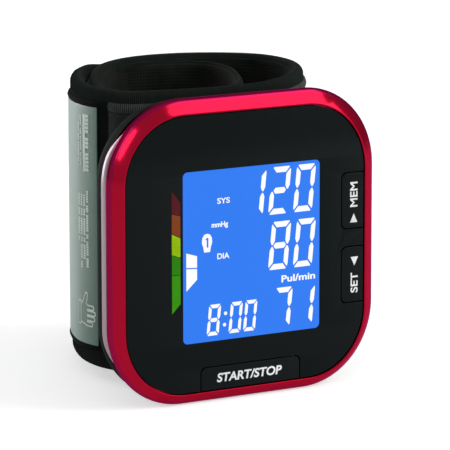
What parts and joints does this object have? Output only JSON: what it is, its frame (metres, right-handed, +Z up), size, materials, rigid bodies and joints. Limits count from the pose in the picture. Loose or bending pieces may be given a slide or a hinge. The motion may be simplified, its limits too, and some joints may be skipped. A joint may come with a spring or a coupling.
{
  "type": "wrist blood pressure monitor",
  "caption": "Upright display head with a red bezel, push buttons and battery cover, screwed to a wound fabric wrist cuff with an air bladder and a peel-back tail.",
  "frame": {"origin": "middle of the trim ring's flat foot, on which the head stands", "axes": "+X to the right of the display, +Y back from the display through the cuff, +Z up along the cuff's opening"},
  "size_m": [0.0819, 0.0771, 0.0725],
  "materials": {
    "red_bezel": "red metallic chrome look",
    "silver_trim": "pale silver paint",
    "gloss_black": "gloss black",
    "clear_window": "clear acrylic",
    "blue_display": "blue backlit glass",
    "white_plastic": "white",
    "matte_black": "matte black",
    "black_rubber": "soft black",
    "green_board": "green solder mask",
    "ivory_plastic": "ivory",
    "clear_tube": "pale silicone",
    "steel": "plated",
    "cell_sleeve": "printed sleeve",
    "black_fabric": "black knit",
    "ribbed_binding": "ribbed black tape",
    "satin_label": "grey-green satin"
  },
  "bodies": {
    "head": {"bezel_ring": "red_bezel", "trim_ring": "silver_trim", "front_panel": "gloss_black", "display_window": "clear_window", "start_stop_switch": "steel", "memory_switch": "steel", "set_switch": "steel", "lcd_glass": "blue_display", "backlight_panel": "white_plastic", "zebra_strip": "black_rubber", "lcd_holder": "matte_black", "main_circuit_board": "green_board", "key_board": "green_board", "controller_chip": "matte_black", "buzzer": "matte_black", "pressure_sensor": "ivory_plastic", "sensor_tube": "clear_tube", "pump_motor": "steel", "pump_head": "ivory_plastic", "pump_tube": "clear_tube", "air_manifold": "ivory_plastic", "exhaust_valve": "steel", "valve_tube": "clear_tube", "air_nipple": "black_rubber", "inner_battery_cell": "cell_sleeve", "outer_battery_cell": "cell_sleeve", "inner_cell_spring": "steel", "outer_cell_spring": "steel", "positive_contact": "steel", "negative_contact": "steel", "link_contact": "steel", "battery_tray": "matte_black", "rear_case": "matte_black", "case_screw_lower_left": "steel", "case_screw_lower_right": "steel", "case_screw_upper_left": "steel", "case_screw_upper_right": "steel", "cuff_cover": "black_fabric", "cuff_former": "ivory_plastic", "air_bladder": "black_rubber", "cuff_lining": "black_fabric", "upper_binding": "ribbed_binding", "lower_binding": "ribbed_binding", "inner_curl": "black_fabric", "cuff_screw_lower": "steel", "cuff_screw_upper": "steel"},
    "start_button": {"start_stop_button": "gloss_black", "start_stop_plunger": "matte_black"},
    "memory_button": {"memory_button": "gloss_black", "memory_plunger": "matte_black"},
    "set_button": {"set_button": "gloss_black", "set_plunger": "matte_black"},
    "battery_door": {"battery_cover": "matte_black"},
    "cuff_tail": {"tail_cover": "black_fabric", "tail_lining": "black_fabric", "tail_upper_binding": "ribbed_binding", "tail_lower_binding": "ribbed_binding", "cuff_label": "satin_label", "hook_tape": "black_fabric"}
  },
  "joints": [
    {"name": "start_press", "type": "slide", "parent": "head", "child": "start_button", "axis": [0, 1, 0], "range_m": [0, 0.0005], "stiffness_N_per_m": 2500},
    {"name": "memory_press", "type": "slide", "parent": "head", "child": "memory_button", "axis": [0, 1, 0], "range_m": [0, 0.0005], "stiffness_N_per_m": 2500},
    {"name": "set_press", "type": "slide", "parent": "head", "child": "set_button", "axis": [0, 1, 0], "range_m": [0, 0.0005], "stiffness_N_per_m": 2500},
    {"name": "cover_slide", "type": "slide", "parent": "head", "child": "battery_door", "axis": [1, 0, 0], "range_m": [0, 0.02]},
    {"name": "tail_hinge", "type": "hinge", "parent": "head", "child": "cuff_tail", "pos_m": [-0.02085, 0.0251, 0], "axis": [0, 0, 1], "range_deg": [0, 85]}
  ]
}
